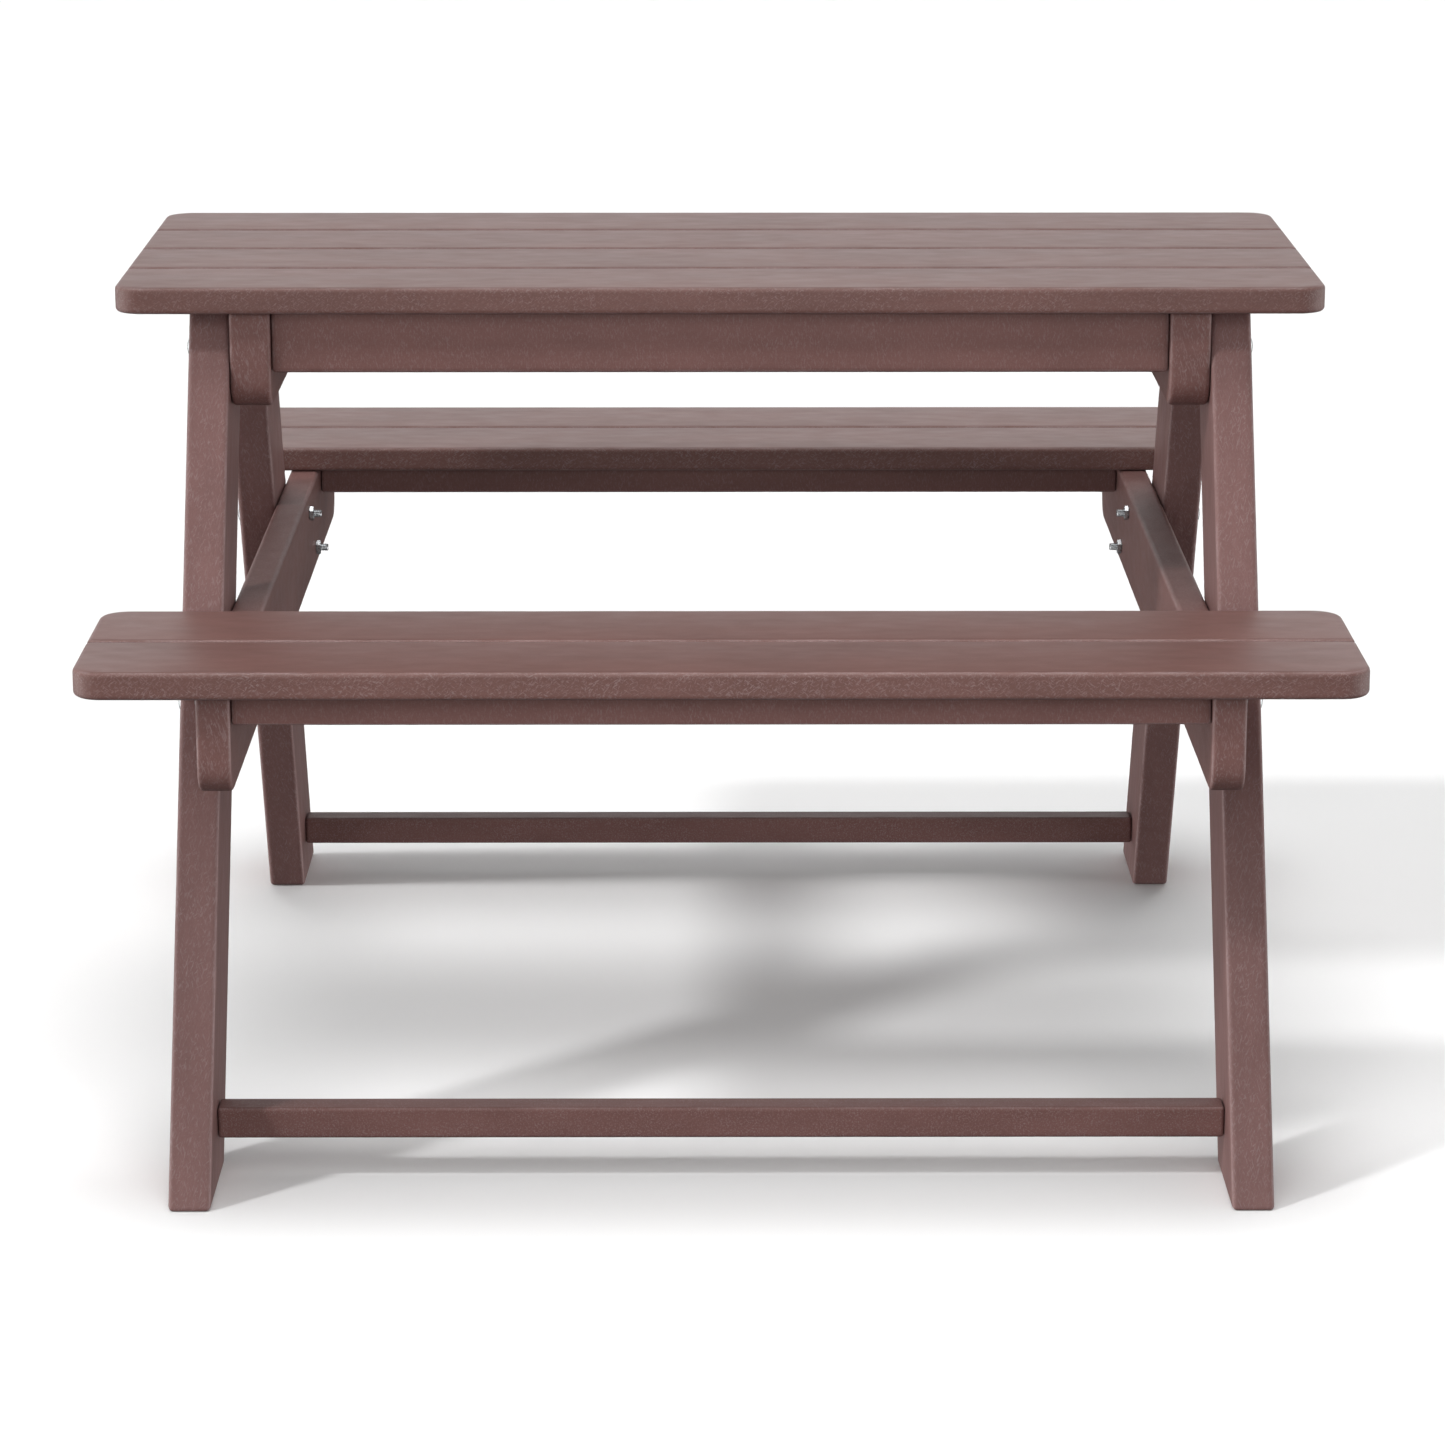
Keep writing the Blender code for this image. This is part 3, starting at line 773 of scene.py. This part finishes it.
def threaded(radius, depth, pitch, length, steps=24):
    """A threaded rod from height 0 down to -length, its thread fading out at both ends."""
    bm = bmesh.new()
    root = radius - depth
    fading = 0.6 * pitch
    turns = math.ceil(length / pitch) + 2
    roots, crests = [], []
    for step in range(turns * steps + 1):
        turn = math.tau * step / steps
        for row, part, offset in ((roots, 0.0, 0.0), (crests, 1.0, 0.5)):
            height = (step / steps + offset - 1.0) * pitch
            inside = min(max(height, 0.0), length)
            fade = min(1.0, min(inside, length - inside) / fading)
            reach = root + part * depth * max(fade, 0.0)
            row.append(bm.verts.new((reach * math.cos(turn), reach * math.sin(turn), -inside)))
    for step in range(turns * steps):
        bm.faces.new((roots[step], roots[step + 1], crests[step + 1], crests[step]))
        after = step + steps
        if after < turns * steps:
            bm.faces.new((crests[step], crests[step + 1], roots[after + 1], roots[after]))
    bmesh.ops.remove_doubles(bm, verts=bm.verts, dist=1e-6)
    bmesh.ops.dissolve_degenerate(bm, dist=1e-6, edges=bm.edges)
    bmesh.ops.holes_fill(bm, edges=[edge for edge in bm.edges if edge.is_boundary], sides=0)
    bmesh.ops.recalc_face_normals(bm, faces=bm.faces)
    return mesh_of(bm, "threaded")


def bolt_mesh(length):
    """A domed carriage bolt with a threaded tail."""
    head = dome(BOLT_HEAD_RADIUS, GAP, BOLT_HEAD_RIM, BOLT_HEAD_HEIGHT, 8)
    head += [(BOLT_HEAD_RADIUS, GAP + FINE_CHAMFER), (BOLT_HEAD_RADIUS - FINE_CHAMFER, GAP)]
    root = BOLT_RADIUS - BOLT_THREAD_DEPTH
    thread_top = BOLT_THREAD_LENGTH - length
    end = thread_top - THREAD_OVERLAP
    shank = [(BOLT_RADIUS, GAP), (BOLT_RADIUS, end + BOLT_THREAD_DEPTH), (root, end), (0.0, end)]
    thread = threaded(BOLT_RADIUS, BOLT_THREAD_DEPTH, THREAD_PITCH, BOLT_THREAD_LENGTH)
    thread.transform(Matrix.Translation((0, 0, thread_top)))
    return cleaned(combine(turned(head + shank), thread, "UNION"))


def nut_mesh(thickness):
    """A hexagon nut with both faces chamfered and a countersunk bore."""
    bm = bmesh.new()
    corner = NUT_ACROSS_FLATS / math.sqrt(3)
    bmesh.ops.create_cone(bm, cap_ends=True, segments=6, radius1=corner, radius2=corner, depth=thickness)
    blank = mesh_of(bm, "nut_blank")
    half = thickness / 2
    flat = NUT_ACROSS_FLATS / 2
    inner, outer = flat * 0.97, corner + 0.001
    drop = (outer - flat) * math.tan(NUT_CHAMFER)
    lens = turned([(0.0, half), (inner, half), (outer, half - drop),
                   (outer, drop - half), (inner, -half), (0.0, -half)], 48)
    hexagon = combine(blank, lens, "INTERSECT")
    above, wide = half + NUT_MOUTH, NUT_BORE_RADIUS + 2 * NUT_MOUTH
    inside = half - NUT_MOUTH
    tool = turned([(0.0, above), (wide, above), (NUT_BORE_RADIUS, inside),
                   (NUT_BORE_RADIUS, -inside), (wide, -above), (0.0, -above)])
    return cleaned(combine(hexagon, tool, "DIFFERENCE"))


def cross_recess(top, reach):
    """The cutter for a cross recess that narrows towards the bottom."""
    bm = bmesh.new()
    rings = []
    for height, scale in ((top + 0.0005, 1.15), (top - RECESS_DEPTH, 0.45)):
        far, near = reach * scale, 0.22 * reach * (0.4 + 0.6 * scale)
        arm = [Vector((far, -near, height)), Vector((far, near, height)), Vector((near, near, height))]
        rings.append([bm.verts.new(Matrix.Rotation(quarter * math.pi / 2, 3, "Z") @ point)
                      for quarter in range(4) for point in arm])
    upper, lower = rings
    bm.faces.new(upper)
    bm.faces.new(reversed(lower))
    for index in range(len(upper)):
        after = (index + 1) % len(upper)
        bm.faces.new((upper[index], lower[index], lower[after], upper[after]))
    bmesh.ops.recalc_face_normals(bm, faces=bm.faces)
    return mesh_of(bm, "recess")


def screw_shank(length):
    """The threaded part of a wood screw, with a point."""
    shank = threaded(SCREW_RADIUS, SCREW_THREAD_DEPTH, SCREW_THREAD_PITCH, length, 12)
    for vert in shank.vertices:
        above_tip = (vert.co.z + length) / SCREW_TIP
        taper = min(1.0, max(0.12, above_tip))
        vert.co.x *= taper
        vert.co.y *= taper
    return shank


def screw_mesh(length, sink):
    """A wood screw with a flush head sunk by some depth, or a round head where sink is None."""
    radius, core = SCREW_HEAD_RADIUS, SCREW_CORE_RADIUS
    if sink is None:
        top, foot, start = GAP + ROUND_HEAD_HEIGHT, -0.004, 0.002
        profile = dome(radius, GAP, SCREW_HEAD_RIM, ROUND_HEAD_HEIGHT, 7) + [(radius, GAP), (core, GAP)]
    else:
        top = -sink - SCREW_SINK
        foot, start = top - 0.006, 0.003 - top
        rim = top - FINE_CHAMFER
        profile = [(0.0, top), (radius - FINE_CHAMFER, top), (radius, rim), (core, rim - (radius - core))]
    profile += [(core, foot), (0.0, foot)]
    head = combine(turned(profile), cross_recess(top, radius * RECESS_REACH), "DIFFERENCE")
    end = length + (sink or 0.0) - SCREW_END_GAP
    shank = screw_shank(end - start)
    shank.transform(Matrix.Translation((0, 0, -start)))
    return cleaned(combine(head, shank, "UNION"))


def add_hardware(bolts, screws):
    """Bolts, nuts and screws."""
    def steel(mesh):
        return finished(mesh, "zinc_steel", HARDWARE_SHARP_ANGLE)

    meshes = {}
    for name, matrix in bolts.items():
        joint = "batten" if "batten" in name else "rail"
        nut = name.replace("bolt", "nut")
        if joint not in meshes:
            low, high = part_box(name)
            length = high.x - low.x - BOLT_HEAD_HEIGHT - GAP
            nut_low, nut_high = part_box(nut)
            meshes[joint] = (steel(bolt_mesh(length)), steel(nut_mesh(nut_high.x - nut_low.x)))
        bolt, hexagon = meshes[joint]
        add_piece(name + "_steel", bolt, matrix, name)
        outward = matrix.to_3x3() @ Vector((0, 0, 1))
        add_piece(nut + "_steel", hexagon, placed(centre(nut), outward), nut)
    for name, (places, length, sink) in screws.items():
        screw = screw_mesh(length, sink)
        group = gathered([(screw, place) for place in places], name)
        add_piece(name, steel(group))


# ---------------------------------------------------------------- studio

def add_camera():
    data = bpy.data.cameras.new("camera")
    data.sensor_width = 36.0
    data.lens = CAMERA_LENS
    camera = bpy.data.objects.new("camera", data)
    camera.location = CAMERA_PLACE
    camera.rotation_euler = (math.pi / 2 - CAMERA_PITCH, 0.0, -CAMERA_YAW)
    bpy.context.scene.collection.objects.link(camera)
    bpy.context.scene.camera = camera


def add_light(name, kind, place, target, **settings):
    data = bpy.data.lights.new(name, kind)
    for key, value in settings.items():
        setattr(data, key, value)
    light = bpy.data.objects.new(name, data)
    light.matrix_world = placed(place, Vector(place) - Vector(target))
    bpy.context.scene.collection.objects.link(light)


class Surround:
    """A helper for wiring the world's nodes."""

    def __init__(self):
        world = bpy.data.worlds.new("studio")
        world.use_nodes = True
        bpy.context.scene.world = world
        self.tree = world.node_tree

    def node(self, kind, inputs, **settings):
        made = self.tree.nodes.new(kind)
        for key, value in settings.items():
            setattr(made, key, value)
        for key, value in inputs.items():
            if isinstance(value, (int, float)):
                made.inputs[key].default_value = value
            else:
                self.tree.links.new(value, made.inputs[key])
        return made

    def rise(self, value, low, high, level=1.0):
        """0 up to low and level from high on; with low above high it falls instead."""
        inputs = {"Value": value, "From Min": low, "From Max": high, "To Max": level}
        return self.node("ShaderNodeMapRange", inputs, interpolation_type="SMOOTHSTEP").outputs[0]

    def maths(self, operation, first, second=0.0):
        return self.node("ShaderNodeMath", {0: first, 1: second}, operation=operation).outputs[0]


def add_world():
    """A ceiling of light, a lit backdrop behind the table, lit sides, and little else.

    The camera sees it all as white.
    """
    sky = Surround()
    place = sky.node("ShaderNodeTexCoord", {}).outputs["Generated"]
    x, y, height = sky.node("ShaderNodeSeparateXYZ", {"Vector": place}).outputs
    ceiling = sky.rise(height, *CEILING_RISE, CEILING_LIGHT)
    foot = sky.rise(height, *BACKDROP_FOOT, BACKDROP_LIGHT)
    band = sky.maths("MULTIPLY", foot, sky.rise(height, *reversed(BACKDROP_FALL)))
    backdrop = sky.maths("MULTIPLY", sky.rise(y, *BACKDROP_RISE), band)
    beside = sky.rise(sky.maths("ABSOLUTE", x), *SIDE_RISE, SIDE_LIGHT)
    sides = sky.maths("MULTIPLY", beside, sky.rise(height, *reversed(SIDE_FALL)))
    around = sky.maths("ADD", sides, SURROUND_LIGHT)
    lit = sky.maths("ADD", sky.maths("ADD", ceiling, backdrop), around)
    rays = sky.node("ShaderNodeLightPath", {})
    background = sky.tree.nodes["Background"]
    background.inputs["Color"].default_value = (1.0, 1.0, 1.0, 1.0)
    sky.tree.links.new(sky.maths("MAXIMUM", lit, rays.outputs["Is Camera Ray"]),
                       background.inputs["Strength"])


def add_floor():
    bm = bmesh.new()
    bmesh.ops.create_grid(bm, x_segments=1, y_segments=1, size=FLOOR_HALF_SIZE)
    floor = new_object("floor", mesh_of(bm, "floor"))
    floor.data.materials.append(floor_material())
    floor.location.z = FLOOR_LEVEL
    # As in the photo, the floor takes the table's shadow but throws no light back on it
    floor.visible_diffuse = False
    floor.visible_glossy = False


def add_studio():
    add_camera()
    add_world()
    add_light("key", "SUN", KEY_DIRECTION, (0.0, 0.0, 0.0), energy=KEY_POWER, angle=KEY_SIZE)
    add_light("front", "AREA", FRONT_PLACE, FRONT_TARGET,
              energy=FRONT_POWER, shape="DISK", size=FRONT_SIZE)
    add_floor()
    bpy.context.scene.view_settings.view_transform = "Standard"


LEG_TILT = tuple(Matrix(leaning(-1)).to_euler())
LUMBER = {
    "top_lumber": (TOP_COLOUR, BOARD_GLOSS, SHORT_FIBRE, ROUTED, 0.0),
    "seat_lumber": (SEAT_COLOUR, BOARD_GLOSS, SHORT_FIBRE, ROUTED, 0.0),
    "leg_lumber": (LEG_COLOUR, FRAME_GLOSS, LONG_FIBRE, UPRIGHT, 0.2, LEG_TILT),
    "frame_lumber": (FRAME_COLOUR, FRAME_GLOSS, LONG_FIBRE, CROSS, 0.6),
}
MATERIALS = {slot: Lumber(slot, *look).material for slot, look in LUMBER.items()}
MATERIALS["zinc_steel"] = zinc_material("zinc_steel")

bolts = bolt_places()
screws = screw_kinds()
add_studio()
add_lumber(all_holes(bolts, screws))
add_hardware(bolts, screws)
